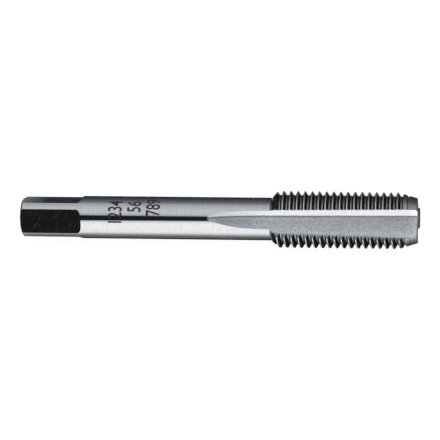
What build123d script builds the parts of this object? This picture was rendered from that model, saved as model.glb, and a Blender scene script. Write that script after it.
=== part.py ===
"""Hand tap for an M8 x 1 thread, in one solid piece with its axis along X.

The drive end's face lies on the origin and the nose points to +X. Turns round the axis are given
in degrees, from the -Y side upward.
"""

import os
from math import cos, radians, sin, sqrt, tan

from build123d import *

# Whole tap
overall_length = 56.0
shank_diameter = 6.0
end_face_diameter = 5.0
end_chamfer_length = 0.35

# Square for the wrench: four flats with a hollow run-out into the shank
square_across_flats = 4.9
square_length = 8.0
square_run_out_radius = 0.85
square_angle = 24.6

# Right-hand thread, ISO form
major_diameter = 8.0
pitch = 1.0
flank_angle = 60.0
crest_flat = pitch / 8
groove_depth = 0.613 * pitch
thread_length = 20.5
thread_angle = 33.0

# Back chamfer behind the thread and lead chamfer at the nose, as angles to the axis
back_angle = 45.0
lead_angle = 18.0
nose_diameter = 6.3

# Flutes: V with a round bottom, ground by a wheel that rises out through the shank
flute_count = 3
cutting_edge_angle = 62.8
rake_angle = 14.0
flute_angle = 71.6
flute_bottom_radius = 0.75
core_diameter = 2.3
core_taper_angle = 2.0
wheel_lean_angle = 24.2
wheel_radius = 24.0
flute_straight_length = 22.6

# Centre holes in both ends
centre_mouth_diameter = 1.5
centre_pilot_diameter = 0.7
centre_pilot_length = 0.8
centre_angle = 60.0

# Sizes that follow from those above
shank_radius = shank_diameter / 2
major_radius = major_diameter / 2
root_radius = major_radius - groove_depth
thread_start = overall_length - thread_length
spare = major_radius / 4


def around(turn):
    """Unit vector square to the axis at a turn."""
    return Vector(0, -cos(radians(turn)), sin(radians(turn)))


def blank():
    """Turned blank with every chamfer."""
    back_length = (major_radius - shank_radius) / tan(radians(back_angle))
    lead_length = (major_radius - nose_diameter / 2) / tan(radians(lead_angle))
    outline = Polyline(
        (0, 0),
        (0, end_face_diameter / 2),
        (end_chamfer_length, shank_radius),
        (thread_start, shank_radius),
        (thread_start + back_length, major_radius),
        (overall_length - lead_length, major_radius),
        (overall_length, nose_diameter / 2),
        (overall_length, 0),
        close=True,
    )
    return revolve(make_face(outline), Axis.X)


def centre_hole():
    """Centre hole that opens at the origin and runs along +X."""
    mouth, pilot = centre_mouth_diameter / 2, centre_pilot_diameter / 2
    cone = (mouth - pilot) / tan(radians(centre_angle / 2))
    bottom = cone + centre_pilot_length
    outline = Polyline((0, 0), (0, mouth), (cone, pilot), (bottom, pilot), (bottom, 0), close=True)
    return revolve(make_face(outline), Axis.X)


def square_cutter(turn):
    """What is milled away above one flat, the run-out hollow included."""
    flat, top = square_across_flats / 2, major_radius + spare
    hollow = square_length + square_run_out_radius
    outline = [
        Line((-spare, flat), (square_length, flat)),
        CenterArc((square_length, flat + square_run_out_radius), square_run_out_radius, -90, 90),
        Line((hollow, flat + square_run_out_radius), (hollow, top)),
        Line((hollow, top), (-spare, top)),
        Line((-spare, top), (-spare, flat)),
    ]
    side = Plane(origin=(0, 0, 0), x_dir=(1, 0, 0), z_dir=around(turn - 90))
    return extrude(side * make_face(outline), amount=major_radius, both=True)


def flute_cutter(turn):
    """What the grinding wheel takes out for the flute whose cutting edge meets the nose at a turn."""
    # The wheel's plane leans from the rake face, and its path rises from the nose by the core taper.
    infeed = around(turn - rake_angle - wheel_lean_angle)
    rise = sin(radians(core_taper_angle))
    level = cos(radians(core_taper_angle))
    path = Vector(level, 0, 0) - infeed * rise
    section = Plane(origin=(overall_length, 0, 0), x_dir=infeed * level + Vector(rise, 0, 0), z_dir=path)

    # Bottom arc: tangent to the rake face and to the core, both known from the axis.
    rake_offset = flute_bottom_radius - major_radius * sin(radians(rake_angle))
    along_rake = sqrt((core_diameter / 2 + flute_bottom_radius) ** 2 - rake_offset**2)
    rake = Vector(1, 0).rotate(Axis.Z, -wheel_lean_angle)
    centre = rake * along_rake + rake.rotate(Axis.Z, 90) * rake_offset
    half = radians(flute_angle / 2)
    apex = centre - rake.rotate(Axis.Z, flute_angle / 2) * (flute_bottom_radius / sin(half))
    reach = 2 * major_radius
    wedge = make_face(
        Polyline(apex, apex + rake * reach, apex + rake.rotate(Axis.Z, flute_angle) * reach, close=True)
    )
    wedge = section * fillet(wedge.vertices().sort_by_distance(apex)[0], flute_bottom_radius)

    # Straight pass from beyond the nose, then the wheel's own curve out of the shank.
    straight = extrude(wedge, amount=spare) + extrude(wedge, amount=-flute_straight_length)
    end = path * -flute_straight_length
    wheel_height = centre.X - flute_bottom_radius + wheel_radius
    wheel_axis = Axis(section.from_local_coords(Vector(wheel_height, 0, 0)) + end, section.y_dir * -1)
    return straight + revolve(Pos(end) * wedge, wheel_axis, 40)


def thread_grooves():
    """Lengths of one helical groove, each crossing a land between two flutes."""
    span = 0.75 * 360 / flute_count
    over = crest_flat / 4
    slope = tan(radians(flank_angle / 2))
    top_half = (pitch - crest_flat) / 2 + over * slope
    bottom_half = (pitch - crest_flat) / 2 - groove_depth * slope
    outline = Polyline(
        (root_radius, -bottom_half),
        (root_radius, bottom_half),
        (major_radius + over, top_half),
        (major_radius + over, -top_half),
        close=True,
    )
    path = Helix(pitch=pitch, height=pitch * span / 360, radius=root_radius)
    crossing = sweep(Plane.XZ * make_face(outline), path=path, is_frenet=True)
    crossing = Pos(Z=-pitch * span / 720) * Rot(Z=-span / 2) * crossing
    grooves = []
    for land in range(flute_count):
        turn = cutting_edge_angle + (land + 0.25) * 360 / flute_count
        place = overall_length + pitch * (1 - (turn - thread_angle) / 360)
        while place > thread_start - pitch:
            grooves.append(Plane(origin=(place, 0, 0), x_dir=around(turn), z_dir=(1, 0, 0)) * crossing)
            place -= pitch
    return grooves


tap = blank()
tap -= [square_cutter(square_angle + 90 * side) for side in range(4)]
tap -= [flute_cutter(cutting_edge_angle + 360 * flute / flute_count) for flute in range(flute_count)]
tap -= [centre_hole(), Pos(X=overall_length) * Rot(Z=180) * centre_hole()]
tap -= thread_grooves()

os.makedirs("parts", exist_ok=True)
export_step(tap, "parts/tap.step")
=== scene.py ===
import math
import bmesh
import bpy
import numpy as np
from mathutils import Matrix, Vector


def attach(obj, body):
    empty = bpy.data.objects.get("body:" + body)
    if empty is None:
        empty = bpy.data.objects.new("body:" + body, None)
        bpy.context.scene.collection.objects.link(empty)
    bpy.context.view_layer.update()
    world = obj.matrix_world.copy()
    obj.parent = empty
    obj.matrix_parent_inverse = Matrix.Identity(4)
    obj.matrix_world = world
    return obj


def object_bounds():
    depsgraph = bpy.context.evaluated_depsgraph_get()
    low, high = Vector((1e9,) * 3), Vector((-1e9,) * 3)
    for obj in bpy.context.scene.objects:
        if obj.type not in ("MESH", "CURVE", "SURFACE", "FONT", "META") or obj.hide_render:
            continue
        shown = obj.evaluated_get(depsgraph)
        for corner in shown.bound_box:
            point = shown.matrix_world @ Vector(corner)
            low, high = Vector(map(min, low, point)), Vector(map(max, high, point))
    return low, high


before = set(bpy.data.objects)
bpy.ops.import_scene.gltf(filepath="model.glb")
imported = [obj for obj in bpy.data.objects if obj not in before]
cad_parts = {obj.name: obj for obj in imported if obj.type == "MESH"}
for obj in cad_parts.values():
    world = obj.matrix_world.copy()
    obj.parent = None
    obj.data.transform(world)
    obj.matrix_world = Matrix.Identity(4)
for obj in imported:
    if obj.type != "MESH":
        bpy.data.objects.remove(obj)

scene = bpy.context.scene
scene.view_settings.view_transform = 'Standard'
cadBox = [list(corner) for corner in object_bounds()]
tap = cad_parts["tap"]
print("stage: frame loaded")


# The patterns are given per millimetre, and the coordinates are in metres.
perMetre = 1000.0


# Small helpers for wiring nodes: a value or a socket goes into a named input, or into a numbered one as i0.
def feed(tree, node, **inputs):
    for name, value in inputs.items():
        numbered = name[0] == "i" and name[1:].isdigit()
        socket = node.inputs[int(name[1:]) if numbered else name.replace("_", " ")]
        if isinstance(value, bpy.types.NodeSocket):
            tree.links.new(value, socket)
        else:
            socket.default_value = value
    return node


def calc(tree, operation, first, second=0.0, third=0.0):
    node = tree.nodes.new("ShaderNodeMath")
    node.operation = operation
    return feed(tree, node, i0=first, i1=second, i2=third).outputs[0]


def remap(tree, value, low, high, toLow=0.0, toHigh=1.0, smooth=False):
    node = tree.nodes.new("ShaderNodeMapRange")
    node.interpolation_type = 'SMOOTHSTEP' if smooth else 'LINEAR'
    return feed(tree, node, Value=value, From_Min=low, From_Max=high, To_Min=toLow, To_Max=toHigh).outputs[0]


def blendColour(tree, share, first, second):
    node = tree.nodes.new("ShaderNodeMix")
    node.data_type = 'RGBA'
    return feed(tree, node, i0=share, i6=first, i7=second).outputs[2]


def splitAxes(tree, vector):
    return feed(tree, tree.nodes.new("ShaderNodeSeparateXYZ"), Vector=vector).outputs


def scaleColour(tree, colour, factor):
    node = tree.nodes.new("ShaderNodeVectorMath")
    node.operation = 'SCALE'
    return feed(tree, node, i0=colour, Scale=factor).outputs[0]


def newGroup(name, inputs, outputs):
    group = bpy.data.node_groups.new(name, 'ShaderNodeTree')
    for label, kind, start in inputs:
        socket = group.interface.new_socket(name=label, in_out='INPUT', socket_type=kind)
        if start is not None:
            socket.default_value = start
    for label, kind in outputs:
        group.interface.new_socket(name=label, in_out='OUTPUT', socket_type=kind)
    return group, group.nodes.new("NodeGroupInput"), group.nodes.new("NodeGroupOutput")


def place(tree, group, **values):
    node = tree.nodes.new("ShaderNodeGroup")
    node.node_tree = group
    return feed(tree, node, **values)


# Grain: noise stretched by its own number of lines per millimetre along each axis.
def makeGrainGroup():
    group, given, out = newGroup("wheelGrain", [
        ("Vector", 'NodeSocketVector', None), ("Along", 'NodeSocketFloat', 1.0),
        ("Across", 'NodeSocketFloat', 1.0), ("Detail", 'NodeSocketFloat', 3.0)],
        [("Value", 'NodeSocketFloat')])
    scale = group.nodes.new("ShaderNodeCombineXYZ")
    feed(group, scale, X=calc(group, 'MULTIPLY', given.outputs["Along"], perMetre),
         Y=calc(group, 'MULTIPLY', given.outputs["Across"], perMetre),
         Z=calc(group, 'MULTIPLY', given.outputs["Across"], perMetre))
    stretch = group.nodes.new("ShaderNodeVectorMath")
    stretch.operation = 'MULTIPLY'
    feed(group, stretch, i0=given.outputs["Vector"], i1=scale.outputs[0])
    noise = group.nodes.new("ShaderNodeTexNoise")
    feed(group, noise, Vector=stretch.outputs[0], Scale=1.0, Detail=given.outputs["Detail"], Roughness=0.6)
    group.links.new(noise.outputs["Fac"], out.inputs["Value"])
    return group


# Specks: the middles of some of the cells, as many as Share says.
def makeSpeckGroup():
    group, given, out = newGroup("specks", [
        ("Vector", 'NodeSocketVector', None), ("Per mm", 'NodeSocketFloat', 2.0),
        ("Share", 'NodeSocketFloat', 0.1), ("Size", 'NodeSocketFloat', 0.2)], [("Mask", 'NodeSocketFloat')])
    cells = group.nodes.new("ShaderNodeTexVoronoi")
    feed(group, cells, Vector=given.outputs["Vector"],
         Scale=calc(group, 'MULTIPLY', given.outputs["Per mm"], perMetre))
    pick = group.nodes.new("ShaderNodeSeparateColor")
    group.links.new(cells.outputs["Color"], pick.inputs[0])
    chosen = calc(group, 'LESS_THAN', pick.outputs[0], given.outputs["Share"])
    size = calc(group, 'MULTIPLY', given.outputs["Size"], remap(group, pick.outputs[1], 0, 1, 0.5, 1.3))
    fade = remap(group, cells.outputs["Distance"], calc(group, 'MULTIPLY', size, 0.5), size)
    near = calc(group, 'SUBTRACT', 1.0, fade)
    group.links.new(calc(group, 'MULTIPLY', chosen, near), out.inputs["Mask"])
    return group


# Distance from the tap's axis, in millimetres.
def makeReachGroup():
    group, given, out = newGroup("reach", [("Vector", 'NodeSocketVector', None)],
                                 [("Reach", 'NodeSocketFloat')])
    axes = splitAxes(group, given.outputs["Vector"])
    square = calc(group, 'ADD', calc(group, 'MULTIPLY', axes["Y"], axes["Y"]),
                  calc(group, 'MULTIPLY', axes["Z"], axes["Z"]))
    group.links.new(calc(group, 'MULTIPLY', calc(group, 'SQRT', square), perMetre), out.inputs["Reach"])
    return group


grain, specks, reach = makeGrainGroup(), makeSpeckGroup(), makeReachGroup()


def newMaterial(name):
    material = bpy.data.materials.new(name)
    material.use_nodes = True
    tree = material.node_tree
    coords = tree.nodes.new("ShaderNodeTexCoord").outputs["Object"]
    return material, tree, tree.nodes["Principled BSDF"], coords


def addBump(tree, shader, height, strength, distance, normal=None):
    bump = feed(tree, tree.nodes.new("ShaderNodeBump"), Strength=strength, Distance=distance, Height=height)
    if normal:
        tree.links.new(normal, bump.inputs["Normal"])
    tree.links.new(bump.outputs[0], shader.inputs["Normal"])


# Roughness runs between two values as its pattern does.
def roughen(tree, shader, pattern, low, high):
    tree.links.new(remap(tree, pattern, 0.3, 0.7, low, high), shader.inputs["Roughness"])


# Shank: cylindrically ground, so its lines run round the axis.
shank = {"colour": (0.84, 0.85, 0.87, 1), "line": (0.66, 0.67, 0.69, 1), "speck": (0.08, 0.08, 0.09, 1),
         "roughness": 0.06, "linesPerMm": 6.0, "fineLinesPerMm": 18.0}
lead = {"colour": (0.56, 0.57, 0.59, 1), "line": (0.40, 0.41, 0.43, 1), "speck": (0.05, 0.05, 0.05, 1),
        "roughness": 0.16, "linesPerMm": 6.0, "fineLinesPerMm": 18.0}
groundLook = {"broadAcross": 0.35, "fineAcross": 0.8, "fineShare": 0.4, "specksPerMm": 2.2,
              "speckShare": 0.12, "speckSize": 0.2, "speckDepth": 0.8, "bump": 0.15, "bumpDepth": 0.000002}


def makeGroundSteel(name, values):
    material, tree, shader, coords = newMaterial(name)
    broad = place(tree, grain, Vector=coords, Along=values["linesPerMm"],
                  Across=groundLook["broadAcross"], Detail=4.0).outputs[0]
    fine = place(tree, grain, Vector=coords, Along=values["fineLinesPerMm"],
                 Across=groundLook["fineAcross"], Detail=2.0).outputs[0]
    dots = place(tree, specks, Vector=coords, Per_mm=groundLook["specksPerMm"],
                 Share=groundLook["speckShare"], Size=groundLook["speckSize"]).outputs[0]
    lines = calc(tree, 'MULTIPLY_ADD', fine, groundLook["fineShare"],
                 calc(tree, 'MULTIPLY', broad, 1 - groundLook["fineShare"]))
    colour = blendColour(tree, remap(tree, lines, 0.45, 0.7, 0, 0.8), values["colour"], values["line"])
    dots = calc(tree, 'MULTIPLY', dots, groundLook["speckDepth"])
    colour = blendColour(tree, dots, colour, values["speck"])
    tree.links.new(colour, shader.inputs["Base Color"])
    roughen(tree, shader, lines, values["roughness"] - 0.02, values["roughness"] + 0.05)
    shader.inputs["Metallic"].default_value = 1
    addBump(tree, shader, lines, groundLook["bump"], groundLook["bumpDepth"])
    return material


# Flutes: the back faces are satin from the wheel, which ran lengthwise, the bottoms beside them a paler
# copy of the satin, whose paleness is painted light, and the rest of the bottoms and the rake faces finer.
# The base colour is painted darker or lighter by the distance from the axis (mm), from deep at near to high
# at far and then to heel, and by the place along the tap (m): painted shade and light for how the faces
# reflect, darker near the axis, at the rake's outer edge, at the heel and in the run-out, lighter far out on
# the back faces and towards the nose. For camera rays alone, the rake faces' normals are turned, up to the
# given angle from the plane of the rake, which paints a highlight on them that the face's form does not
# give;
# an angle of 0 leaves them be.
flute = {"satin": {"colour": (0.78, 0.80, 0.83, 1), "dark": (0.50, 0.52, 0.555, 1), "roughness": 0.38,
                   "near": 1.3, "far": 3.0, "deep": 0.73, "high": 1.15, "heel": 0.42, "highlightTurnTo": 0},
         "round": {"colour": (0.90, 0.92, 0.95, 1), "dark": (0.70, 0.72, 0.75, 1), "roughness": 0.4,
                   "near": 1.3, "far": 3.0, "deep": 1.0, "high": 1.0, "heel": 1.0, "highlightTurnTo": 0},
         "fine": {"colour": (0.90, 0.91, 0.925, 1), "dark": (0.74, 0.75, 0.77, 1), "roughness": 0.16,
                  "near": 3.0, "far": 3.65, "deep": 1.0, "high": 0.55, "heel": 1.0, "highlightTurnTo": 55},
         "speck": (0.2, 0.2, 0.21, 1), "heelFrom": 3.38, "heelTo": 3.62, "runOut": (0.029, 0.035),
         "runOutShade": 0.72, "nose": (0.0545, 0.056), "noseShade": 1.25, "rakeAngle": -41.2,
         "pitchAngle": 120, "margin": 6}


# The surface normal, turned about the tap's axis towards the mouth of its flute for camera rays alone: a
# painted highlight on the rake faces.
def highlightNormal(tree, highlightTurnTo):
    normal = tree.nodes.new("ShaderNodeTexCoord").outputs["Normal"]
    axes = splitAxes(tree, normal)
    facing = calc(tree, 'ARCTAN2', axes["Z"], calc(tree, 'MULTIPLY', axes["Y"], -1.0))
    fromRake = calc(tree, 'SUBTRACT', facing, math.radians(flute["rakeAngle"]))
    fromRake = calc(tree, 'WRAP', fromRake, math.radians(flute["pitchAngle"] - flute["margin"]),
                    math.radians(-flute["margin"]))
    turn = calc(tree, 'MAXIMUM', calc(tree, 'SUBTRACT', math.radians(highlightTurnTo), fromRake), 0.0)
    path = tree.nodes.new("ShaderNodeLightPath")
    rotate = tree.nodes.new("ShaderNodeVectorRotate")
    rotate.rotation_type = 'X_AXIS'
    seen = calc(tree, 'MULTIPLY', path.outputs["Is Camera Ray"], -1.0)
    feed(tree, rotate, Vector=normal, Angle=calc(tree, 'MULTIPLY', turn, seen))
    return rotate.outputs[0]


def makeFluteSteel(name, values):
    material, tree, shader, coords = newMaterial(name)
    lines = place(tree, grain, Vector=coords, Along=0.5, Across=9.0, Detail=3.0).outputs[0]
    frost = place(tree, grain, Vector=coords, Along=4.0, Across=4.0, Detail=4.0).outputs[0]
    dots = place(tree, specks, Vector=coords, Per_mm=2.0, Share=0.06, Size=0.2).outputs[0]
    mottle = calc(tree, 'MULTIPLY_ADD', lines, 0.35, calc(tree, 'MULTIPLY', frost, 0.65))
    colour = blendColour(tree, remap(tree, mottle, 0.41, 0.61), values["colour"], values["dark"])
    colour = blendColour(tree, calc(tree, 'MULTIPLY', dots, 0.5), colour, flute["speck"])
    out = place(tree, reach, Vector=coords).outputs[0]
    # Painted shade and light: the base colour is scaled by the distance from the axis and the place along
    # the tap.
    shade = remap(tree, out, values["near"], values["far"], values["deep"], values["high"])
    along = splitAxes(tree, coords)["X"]
    shade = calc(tree, 'MULTIPLY', shade, remap(tree, along, *flute["runOut"], flute["runOutShade"], 1.0))
    shade = calc(tree, 'MULTIPLY', shade, remap(tree, along, *flute["nose"], 1.0, flute["noseShade"]))
    heel = remap(tree, out, flute["heelFrom"], flute["heelTo"], 1.0, values["heel"])
    shade = calc(tree, 'MULTIPLY', shade, heel)
    tree.links.new(scaleColour(tree, colour, shade), shader.inputs["Base Color"])
    roughen(tree, shader, frost, values["roughness"] * 0.86, values["roughness"] * 1.16)
    shader.inputs["Metallic"].default_value = 1
    # Painted highlight: for camera rays the rake faces' normals are turned towards the mouth of the flute.
    highlighted = highlightNormal(tree, values["highlightTurnTo"]) if values["highlightTurnTo"] else None
    addBump(tree, shader, mottle, 0.3, 0.000006, highlighted)
    return material


# Thread: dark between bright worn crests and thin bright roots.
thread = {"flank": (0.007, 0.0075, 0.008, 1), "worn": (0.035, 0.036, 0.039, 1),
          "edge": (0.94, 0.95, 0.97, 1), "roughness": 0.24, "crest": 3.96, "root": 3.395, "rootShare": 0.55,
          "rootFrom": 0.0366, "gloss": 0.3}


def makeThreadSteel():
    material, tree, shader, coords = newMaterial("threadSteel")
    out = place(tree, reach, Vector=coords).outputs[0]
    lines = place(tree, grain, Vector=coords, Along=10.0, Across=1.2, Detail=3.0).outputs[0]
    crest = remap(tree, out, thread["crest"] - 0.03, thread["crest"] + 0.02, 0, 1, True)
    root = remap(tree, out, thread["root"] + 0.02, thread["root"] - 0.02, 0, 1, True)
    pastChamfer = calc(tree, 'GREATER_THAN', splitAxes(tree, coords)["X"], thread["rootFrom"])
    root = calc(tree, 'MULTIPLY', root, pastChamfer)
    bright = calc(tree, 'MAXIMUM', crest, calc(tree, 'MULTIPLY', root, thread["rootShare"]))
    flank = blendColour(tree, remap(tree, lines, 0.4, 0.7), thread["flank"], thread["worn"])
    tree.links.new(remap(tree, bright, 0, 0.5, 0.25, 1), shader.inputs["Metallic"])
    tree.links.new(blendColour(tree, bright, flank, thread["edge"]), shader.inputs["Base Color"])
    roughen(tree, shader, lines, thread["roughness"] - 0.05, thread["roughness"] + 0.08)
    shader.inputs["Specular IOR Level"].default_value = thread["gloss"]
    addBump(tree, shader, lines, 0.3, 0.000004)
    return material


# Square: black scale left on the milled flats, rubbed thinner on two of them; a painted reflection makes
# those two paler at their end.
scale = {"fresh": {"colour": (0.0040, 0.0041, 0.0042, 1), "rub": (0.022, 0.022, 0.021, 1), "paintedEndLight": 1.0},
         "worn": {"colour": (0.024, 0.026, 0.029, 1), "rub": (0.055, 0.057, 0.062, 1), "paintedEndLight": 5.4},
         "speck": (0.20, 0.20, 0.21, 1), "roughness": 0.42, "gloss": 0.08, "slant": 1.9,
         "paintedEndLightTo": 0.0036}


def makeScale(name, values):
    material, tree, shader, coords = newMaterial(name)
    axes = splitAxes(tree, coords)
    turn = calc(tree, 'ARCTAN2', axes["Z"], axes["Y"])
    slanted = calc(tree, 'MULTIPLY_ADD', turn, scale["slant"] / perMetre, axes["X"])
    slope = feed(tree, tree.nodes.new("ShaderNodeCombineXYZ"), X=slanted, Y=axes["Y"], Z=axes["Z"])
    lines = place(tree, grain, Vector=slope.outputs[0], Along=6.0, Across=0.9, Detail=4.0).outputs[0]
    dots = place(tree, specks, Vector=coords, Per_mm=4.0, Share=0.16, Size=0.2).outputs[0]
    colour = blendColour(tree, remap(tree, lines, 0.50, 0.75), values["colour"], values["rub"])
    colour = blendColour(tree, calc(tree, 'MULTIPLY', dots, 0.7), colour, scale["speck"])
    # Painted reflection: the two rubbed flats are painted paler towards their end.
    endLightFactor = remap(tree, axes["X"], 0, scale["paintedEndLightTo"], values["paintedEndLight"], 1.0)
    tree.links.new(scaleColour(tree, colour, endLightFactor), shader.inputs["Base Color"])
    roughen(tree, shader, lines, scale["roughness"] - 0.08, scale["roughness"] + 0.1)
    shader.inputs["Specular IOR Level"].default_value = scale["gloss"]
    addBump(tree, shader, lines, 0.4, 0.00001)
    return material


# End faces, chamfers and centre holes: turned, then blackened, with the scale broken up in places.
ends = {"colour": (0.17, 0.175, 0.18, 1), "dark": (0.03, 0.03, 0.032, 1), "roughness": 0.35, "gloss": 0.0,
        "ringsPerMm": 9.0, "ringShare": 0.55}


def makeEndSteel():
    material, tree, shader, coords = newMaterial("turnedEnd")
    out = place(tree, reach, Vector=coords).outputs[0]
    ringVector = tree.nodes.new("ShaderNodeCombineXYZ")
    feed(tree, ringVector, X=calc(tree, 'MULTIPLY', out, ends["ringsPerMm"]))
    rings = tree.nodes.new("ShaderNodeTexNoise")
    feed(tree, rings, Vector=ringVector.outputs[0], Scale=1.0, Detail=2.0)
    frost = place(tree, grain, Vector=coords, Along=2.5, Across=2.5, Detail=3.0).outputs[0]
    mottle = calc(tree, 'MULTIPLY_ADD', rings.outputs["Fac"], ends["ringShare"],
                  calc(tree, 'MULTIPLY', frost, 1 - ends["ringShare"]))
    colour = blendColour(tree, remap(tree, mottle, 0.36, 0.62), ends["colour"], ends["dark"])
    tree.links.new(colour, shader.inputs["Base Color"])
    roughen(tree, shader, frost, ends["roughness"] - 0.06, ends["roughness"] + 0.08)
    shader.inputs["Specular IOR Level"].default_value = ends["gloss"]
    addBump(tree, shader, mottle, 0.3, 0.000006)
    return material


finishes = [makeGroundSteel("groundShank", shank), makeGroundSteel("groundLead", lead),
            makeFluteSteel("satinFlute", flute["satin"]), makeFluteSteel("roundFlutePaintedLight", flute["round"]),
            makeFluteSteel("fineFlute", flute["fine"]),
            makeThreadSteel(), makeScale("blackScale", scale["fresh"]),
            makeScale("wornScale", scale["worn"]), makeEndSteel()]
(shankFinish, leadFinish, satinFinish, roundPaintedLightFinish, fineFinish, threadFinish, scaleFinish, wornFinish,
 endFinish) = range(len(finishes))
print("stage: materials")

# Which finish each facet gets, from where it is and which way it faces (millimetres and degrees).
layout = {"shankRadius": 3.0, "threadStart": 35.45, "rootReach": 3.3, "squareEnd": 9.0, "squareAngle": 24.6,
          "length": 56.0, "leadAngle": 18.0, "backFaceAngle": 67.2, "backFaceSpan": 6, "roundSpan": 38,
          "fluteCount": 3, "outward": 0.97, "radiusSlack": 0.03, "centreHoleRadius": 1.0,
          "centreHoleDepth": 2.5, "endChamfer": 0.5, "noseFace": 0.05}


def assignFinishes():
    mesh = tap.data
    count = len(mesh.polygons)
    centre, corners = np.empty(count * 3), np.empty(count * 9)
    mesh.polygons.foreach_get("center", centre)
    mesh.corner_normals.foreach_get("vector", corners)
    centre, normal = centre.reshape(-1, 3) * 1000, corners.reshape(-1, 3, 3).mean(axis=1)
    normal /= np.linalg.norm(normal, axis=1, keepdims=True)
    along, away = centre[:, 0], np.hypot(centre[:, 1], centre[:, 2])
    sideways = np.hypot(normal[:, 1], normal[:, 2])
    radial = (centre[:, 1] * normal[:, 1] + centre[:, 2] * normal[:, 2]) / np.maximum(away * sideways, 1e-9)
    facing = np.degrees(np.arctan2(normal[:, 2], -normal[:, 1]))
    # Flutes: the back face is satin, the bottom beside it a copy painted paler as painted light, and the
    # rest of each flute finer.
    third = 360 / layout["fluteCount"]
    offBack = (facing - layout["backFaceAngle"] + third / 2) % third - third / 2
    span = layout["backFaceSpan"]
    index = np.where((offBack < span) & (offBack > -layout["roundSpan"]), roundPaintedLightFinish, fineFinish)
    index[np.abs(offBack) < span] = satinFinish
    outward, threaded = radial > layout["outward"], along > layout["threadStart"]
    onShank = (along < layout["threadStart"]) & outward
    onShank &= away > layout["shankRadius"] - layout["radiusSlack"]
    index[onShank] = shankFinish
    index[threaded & outward & (away > layout["rootReach"])] = threadFinish
    slope = math.sin(math.radians(layout["leadAngle"]))
    index[threaded & outward & (np.abs(normal[:, 0] - slope) < 0.02)] = leadFinish
    # The four flats repeat every quarter turn, and the cutter's round corner ends each of them.
    offFlat = np.abs((facing - layout["squareAngle"] + 45) % 90 - 45)
    onFlat = (along < layout["squareEnd"]) & ~onShank & (sideways > 0.05) & (offFlat < 1)
    index[onFlat] = scaleFinish
    upright = np.abs((facing - layout["squareAngle"] + 90) % 180 - 90) > 45
    index[onFlat & upright] = wornFinish
    index[sideways < 0.3] = endFinish
    endwise = np.abs(normal[:, 0]) > 0.5
    index[(along < layout["endChamfer"]) & endwise] = endFinish
    index[(along > layout["length"] - layout["noseFace"]) & endwise] = endFinish
    nearEnd = np.minimum(along, layout["length"] - along) < layout["centreHoleDepth"]
    index[(away < layout["centreHoleRadius"]) & nearEnd & (radial < -0.5)] = endFinish
    mesh.materials.clear()
    for material in finishes:
        mesh.materials.append(material)
    mesh.polygons.foreach_set("material_index", index.astype(np.int32))
    mesh.update()
    print("facets per finish:", np.bincount(index, minlength=len(finishes)).tolist())


assignFinishes()
print("stage: finishes placed")

# Marking: plain digits in order, in three lines that read up the shank, etched dark. Each line is a string,
# its baseline along the shank (mm) and the angle above the front where it starts (degrees). Bold, strip and
# the two joining distances are in the font's own units.
digits = {"lines": [("1234", 14.6, 18.0), ("56", 17.3, 53.0), ("789", 20.0, 43.0)], "height": 1.95,
          "narrow": 0.68, "bold": 0.012, "radius": 3.004, "depth": 0.02, "strip": 0.12, "join": 0.0005,
          "onCut": 0.002, "colour": (0.018, 0.018, 0.020, 1), "thin": (0.09, 0.09, 0.10, 1),
          "roughness": 0.5, "gloss": 0.1}


def makeDigitSteel():
    material, tree, shader, coords = newMaterial("etchedDigits")
    patches = place(tree, grain, Vector=coords, Along=6.0, Across=6.0, Detail=3.0).outputs[0]
    colour = blendColour(tree, remap(tree, patches, 0.5, 0.7), digits["colour"], digits["thin"])
    tree.links.new(colour, shader.inputs["Base Color"])
    roughen(tree, shader, patches, digits["roughness"] - 0.1, digits["roughness"] + 0.1)
    shader.inputs["Specular IOR Level"].default_value = digits["gloss"]
    addBump(tree, shader, patches, 0.4, 0.000006)
    return material


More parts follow.
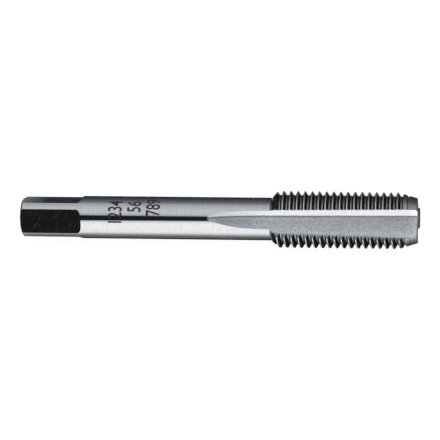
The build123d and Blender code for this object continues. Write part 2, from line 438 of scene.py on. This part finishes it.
def makeDigits():
    whole = bmesh.new()
    for text, baseline, start in digits["lines"]:
        curve = bpy.data.curves.new("line", 'FONT')
        curve.body, curve.extrude, curve.offset, curve.resolution_u = text, 0.5, digits["bold"], 5
        holder = bpy.data.objects.new("line", curve)
        scene.collection.objects.link(holder)
        flat = bpy.data.meshes.new_from_object(holder.evaluated_get(bpy.context.evaluated_depsgraph_get()))
        bpy.data.objects.remove(holder)
        cutter = bmesh.new()
        cutter.from_mesh(flat)
        bmesh.ops.remove_doubles(cutter, verts=cutter.verts, dist=digits["join"])
        bmesh.ops.dissolve_limit(cutter, angle_limit=0.001, verts=cutter.verts, edges=cutter.edges)
        cutter.to_mesh(flat)
        spots = np.empty(len(flat.vertices) * 3)
        flat.vertices.foreach_get("co", spots)
        across = spots[0::3]
        for cut in np.arange(across.min() + digits["strip"] / 3, across.max(), digits["strip"]):
            bmesh.ops.bisect_plane(cutter, geom=cutter.verts[:] + cutter.edges[:] + cutter.faces[:],
                                   dist=digits["onCut"], plane_co=(cut, 0, 0), plane_no=(1, 0, 0))
        bmesh.ops.triangulate(cutter, faces=cutter.faces)
        bmesh.ops.remove_doubles(cutter, verts=cutter.verts, dist=digits["join"])
        cutter.to_mesh(flat)
        cutter.free()
        # Wrap: x = baseline - up, angle = start + right / radius, reach = radius - depth * (1/2 - out).
        spots = np.empty(len(flat.vertices) * 3)
        flat.vertices.foreach_get("co", spots)
        right, up, out = spots.reshape(-1, 3).T
        scaleUp = digits["height"] / up.max()
        angle = math.radians(start) + right * scaleUp * digits["narrow"] / digits["radius"]
        reachOut = digits["radius"] - digits["depth"] * (0.5 - out)
        wrapped = np.stack([baseline - up * scaleUp, -reachOut * np.cos(angle), reachOut * np.sin(angle)],
                           axis=1)
        flat.vertices.foreach_set("co", (wrapped / 1000).ravel())
        whole.from_mesh(flat)
    bmesh.ops.recalc_face_normals(whole, faces=whole.faces)
    mesh = bpy.data.meshes.new("digits")
    whole.to_mesh(mesh)
    whole.free()
    mesh.materials.append(makeDigitSteel())
    piece = bpy.data.objects.new("digits", mesh)
    scene.collection.objects.link(piece)
    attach(piece, "root")
    print("digit facets:", len(mesh.polygons))


makeDigits()
print("stage: digits")

# Floor under the lowest thread crests: pale, and part of its white is its own to the camera, so that the
# shadow stays but is faint. In the metal's reflections alone, painted shadow darkens the floor under the
# tap, most of all near the axis, and behind it, each span given by its near and far edge beside the axis, in
# metres.
floorValues = {"size": 3.0, "colour": (0.95, 0.95, 0.95, 1), "paintedUnderShade": (0.20, 0.205, 0.21, 1),
               "paintedInnerShade": (0.03, 0.03, 0.03, 1), "paintedBackShade": (0.02, 0.02, 0.02, 1), "white": 1.06,
               "ownWhite": 0.9, "shine": 0.6, "underTap": (0.0028, 0.0071), "inner": (0.0014, 0.0026),
               "behindTap": (0.009, 0.016)}
lowest = cadBox[0][2]


def makeFloor():
    half = floorValues["size"] / 2
    mesh = bpy.data.meshes.new("floor")
    mesh.from_pydata([(-half, -half, lowest), (half, -half, lowest), (half, half, lowest),
                      (-half, half, lowest)], [], [(0, 1, 2, 3)])
    floor = bpy.data.objects.new("floor", mesh)
    scene.collection.objects.link(floor)
    material, tree, shader, coords = newMaterial("paleFloor")
    tree.nodes.remove(shader)
    sideways = splitAxes(tree, coords)["Y"]
    away = calc(tree, 'ABSOLUTE', sideways)
    path = tree.nodes.new("ShaderNodeLightPath")
    glossy = path.outputs["Is Glossy Ray"]
    # Painted shadow for glossy rays: the floor is darker under the tap and behind it.
    under = calc(tree, 'MULTIPLY', remap(tree, away, *floorValues["underTap"], 1.0, 0.0, True), glossy)
    behind = calc(tree, 'MULTIPLY', remap(tree, sideways, *floorValues["behindTap"]), glossy)
    dark = calc(tree, 'MAXIMUM', under, behind)
    paintedShadeColour = blendColour(tree, remap(tree, away, *floorValues["inner"]), floorValues["paintedInnerShade"],
                       floorValues["paintedUnderShade"])
    colour = blendColour(tree, under, floorValues["colour"], paintedShadeColour)
    diffuse = feed(tree, tree.nodes.new("ShaderNodeBsdfDiffuse"),
                   Color=blendColour(tree, behind, colour, floorValues["paintedBackShade"]))
    white = feed(tree, tree.nodes.new("ShaderNodeEmission"), Strength=floorValues["white"])
    both = tree.nodes.new("ShaderNodeMixShader")
    seen = calc(tree, 'MULTIPLY', path.outputs["Is Camera Ray"], floorValues["ownWhite"])
    mirrored = calc(tree, 'MULTIPLY', calc(tree, 'SUBTRACT', glossy, dark), floorValues["shine"])
    feed(tree, both, i0=calc(tree, 'MAXIMUM', seen, mirrored), i1=diffuse.outputs[0], i2=white.outputs[0])
    tree.links.new(both.outputs[0], tree.nodes["Material Output"].inputs["Surface"])
    mesh.materials.append(material)


makeFloor()

# Light: an even white dome. Polished metal sees the studio's cards and gaps in it, laid out by the
# angle about the tap's axis: degrees up from the front horizon, then brightness.
studio = {"level": 1.0, "aside": 0.5, "asideFrom": 0.35, "asideTo": 0.75, "tint": (0.955, 1.0, 1.037),
          "tintFrom": 50,
          "cards": [(-60, 1.0), (8, 0.97), (20, 0.62), (22, 0.01), (48, 0.01), (52, 0.42), (62, 0.60),
                    (85, 0.64), (105, 0.48), (118, 0.36), (128, 0.19), (150, 0.08), (180, 0.02)]}


def makeWorld():
    world = bpy.data.worlds.new("studio")
    world.use_nodes = True
    scene.world = world
    tree = world.node_tree
    axes = splitAxes(tree, tree.nodes.new("ShaderNodeTexCoord").outputs["Generated"])
    turn = calc(tree, 'ARCTAN2', axes["Z"], calc(tree, 'MULTIPLY', axes["Y"], -1.0))
    ramp = tree.nodes.new("ShaderNodeValToRGB")
    cards = studio["cards"]
    elements = ramp.color_ramp.elements
    while len(elements) < len(cards):
        elements.new(0.5)
    for element, (angle, level) in zip(elements, cards):
        element.position = (angle + 180) / 360
        tint = studio["tint"] if angle > studio["tintFrom"] else (1, 1, 1)
        element.color = (level * tint[0], level * tint[1], level * tint[2], 1)
    tree.links.new(remap(tree, turn, -math.pi, math.pi), ramp.inputs[0])
    aside = remap(tree, calc(tree, 'ABSOLUTE', axes["X"]), studio["asideFrom"], studio["asideTo"], 1.0,
                  studio["aside"], True)
    cardLight = feed(tree, tree.nodes.new("ShaderNodeBackground"), Color=ramp.outputs["Color"],
                     Strength=aside)
    dome = feed(tree, tree.nodes["Background"], Color=(1, 1, 1, 1), Strength=studio["level"])
    path = tree.nodes.new("ShaderNodeLightPath")
    both = tree.nodes.new("ShaderNodeMixShader")
    feed(tree, both, i0=path.outputs["Is Glossy Ray"], i1=dome.outputs[0], i2=cardLight.outputs[0])
    tree.links.new(both.outputs[0], tree.nodes["World Output"].inputs["Surface"])


makeWorld()
print("stage: floor and light")

# Camera: aimed at the middle of the tap from the front and above, a little to the nose side.
view = {"turn": 39.8, "side": 9.0, "distance": 0.45, "roll": 0.619, "width": 0.061694,
        "aim": (0.028134, -0.000222), "lens": 85, "clip": (0.01, 10)}


def makeCamera():
    turn, side = math.radians(view["turn"]), math.radians(view["side"])
    across = Vector((0, -math.cos(turn), math.sin(turn)))
    upward = Vector((0, math.sin(turn), math.cos(turn)))
    back = Vector((1, 0, 0)) * math.sin(side) + across * math.cos(side)
    aim = Vector((view["aim"][0], 0, 0)) + upward * view["aim"][1]
    right = upward.cross(back).normalized()
    basis = Matrix((right, upward, back)).transposed()
    camera = bpy.data.cameras.new("camera")
    seat = bpy.data.objects.new("camera", camera)
    scene.collection.objects.link(seat)
    camera.lens = view["lens"]
    camera.sensor_width = view["width"] / view["distance"] * view["lens"]
    camera.clip_start, camera.clip_end = view["clip"]
    seat.matrix_world = Matrix.Translation(aim + back * view["distance"]) @ \
        (basis @ Matrix.Rotation(math.radians(view["roll"]), 3, 'Z')).to_4x4()
    scene.camera = seat


makeCamera()
print("stage: camera")
